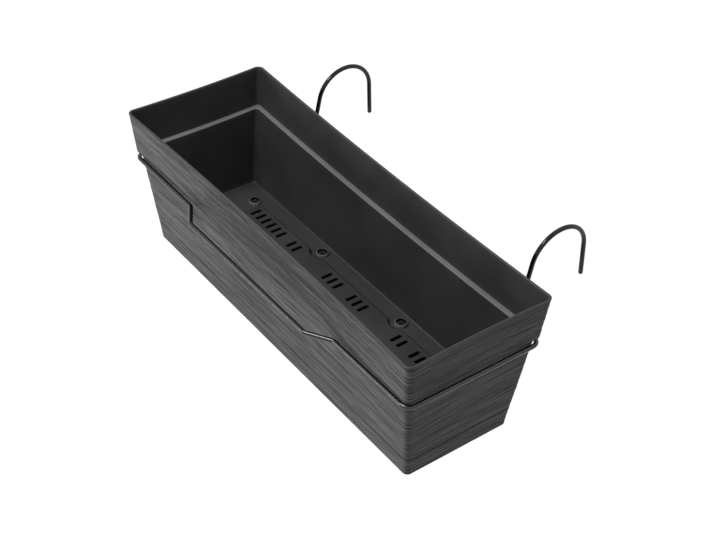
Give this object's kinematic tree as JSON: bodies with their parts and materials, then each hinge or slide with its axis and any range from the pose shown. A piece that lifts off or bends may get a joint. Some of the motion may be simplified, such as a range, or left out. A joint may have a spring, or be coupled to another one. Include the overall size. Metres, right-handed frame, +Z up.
{
  "type": "window box planter",
  "caption": "Long tapered balcony planter with a clip-on drip tray and a slotted floor grid, carried under its band by a bent wire loop with welded rail hooks.",
  "frame": {"origin": "where the hooks rest on the rail: under the crown of the hooks, midway between them", "axes": "+X along the planter, +Y away from the planter across the rail, +Z up"},
  "size_m": [0.5, 0.2983, 0.178],
  "materials": {
    "planter_plastic": "anthracite moulded plastic with a fine lengthwise brushed wood grain outside, smooth satin inside",
    "tray_plastic": "anthracite moulded plastic with the same lengthwise grain",
    "grid_plastic": "smooth dark satin plastic",
    "coated_wire": "steel wire with a smooth glossy black powder coat",
    "coated_weld": "weld metal under the same black powder coat"
  },
  "bodies": {
    "holder": {"support_loop": "coated_wire", "hook_left": "coated_wire", "hook_right": "coated_wire", "weld_beads": "coated_weld"},
    "planter": {"planter_shell": "planter_plastic"},
    "tray": {"drip_tray": "tray_plastic"},
    "grid": {"drainage_grid": "grid_plastic"}
  },
  "joints": [
    {"name": "planter_lift", "type": "slide", "parent": "holder", "child": "planter", "axis": [0, 0, 1], "range_m": [0, 0.2]},
    {"name": "tray_pull", "type": "slide", "parent": "planter", "child": "tray", "axis": [0, 0, -1], "range_m": [0, 0.06]},
    {"name": "grid_lift", "type": "slide", "parent": "planter", "child": "grid", "axis": [0, 0, 1], "range_m": [0, 0.16]}
  ]
}
